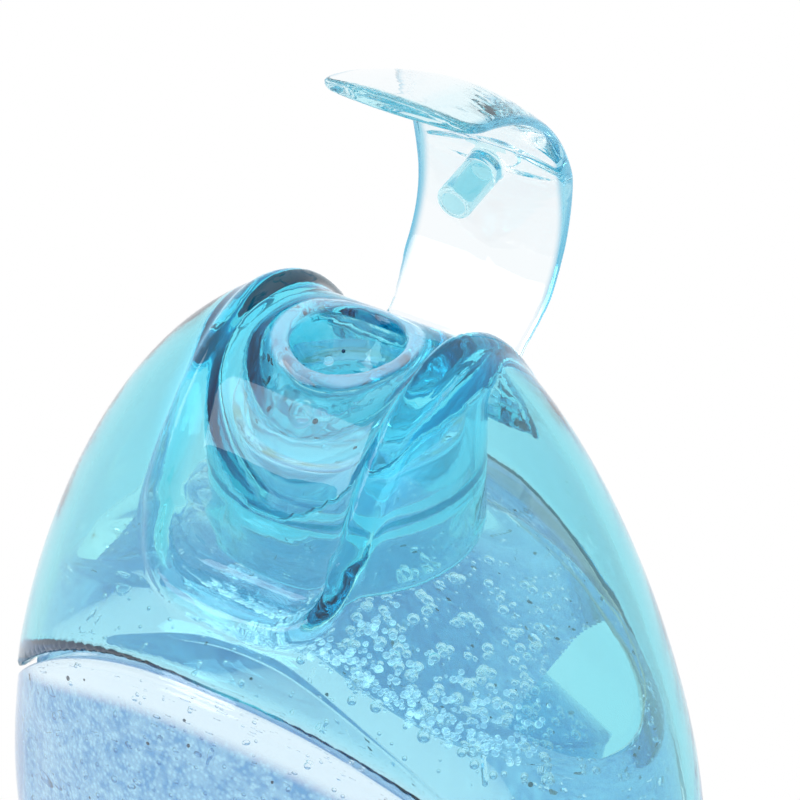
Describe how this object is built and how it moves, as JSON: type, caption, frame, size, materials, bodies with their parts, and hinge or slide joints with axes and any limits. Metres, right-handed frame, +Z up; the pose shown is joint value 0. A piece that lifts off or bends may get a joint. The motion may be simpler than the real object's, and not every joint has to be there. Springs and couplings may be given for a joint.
{
  "type": "shampoo bottle with flip lid cap",
  "caption": "Clear oval shampoo bottle filled with blue gel, with a tall arched push-on cap whose strip lid flips open on a rear hinge over a dished nozzle.",
  "frame": {"origin": "middle of the base, on the plane the bottle stands on", "axes": "+Z up, -Y towards the finger pocket at the front, +Y towards the lid hinge, X along the wide way of the oval"},
  "size_m": [0.0824, 0.0572, 0.1957],
  "materials": {
    "bottle_plastic": "clear, glossy",
    "blue_gel": "clear tinted gel with beads",
    "cap_plastic": "translucent cyan, glossy",
    "lid_plastic": "nearly clear, glossy"
  },
  "bodies": {
    "body": {"bottle": "bottle_plastic", "shampoo": "blue_gel", "cap": "cap_plastic"},
    "flip_lid": {"lid": "lid_plastic"}
  },
  "joints": [
    {"name": "lid_hinge", "type": "hinge", "parent": "body", "child": "flip_lid", "pos_m": [0, 0.0164, 0.15965], "axis": [1, 0, 0], "range_deg": [-10, 78.8]}
  ]
}
